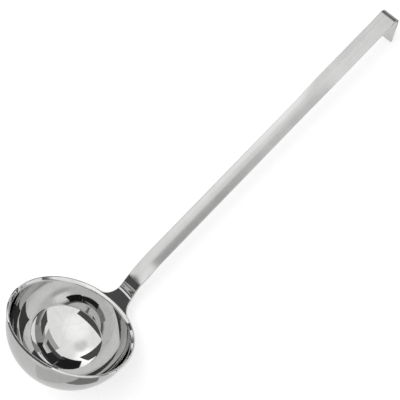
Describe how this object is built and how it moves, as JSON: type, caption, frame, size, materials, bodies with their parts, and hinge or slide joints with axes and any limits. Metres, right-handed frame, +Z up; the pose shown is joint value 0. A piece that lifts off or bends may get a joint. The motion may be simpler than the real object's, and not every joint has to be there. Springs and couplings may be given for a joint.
{
  "type": "soup ladle",
  "caption": "One-piece pressed steel soup ladle: deep round bowl with a flared lip, short neck and a long crowned strip handle folded over into a hanging hook.",
  "frame": {"origin": "middle of the ladle's length and width on the table that it lies on: bottom centre of its bounding box", "axes": "+X along the ladle from bowl to hanging hook, +Y to the left, +Z up from the table"},
  "size_m": [0.4134, 0.1052, 0.0895],
  "materials": {
    "polished_steel": "mirror polish",
    "satin_steel": "satin, brushed along the handle"
  },
  "bodies": {
    "root": {"bowl": "polished_steel", "neck": "polished_steel", "handle": "satin_steel", "hanging_hook": "satin_steel"}
  },
  "joints": []
}
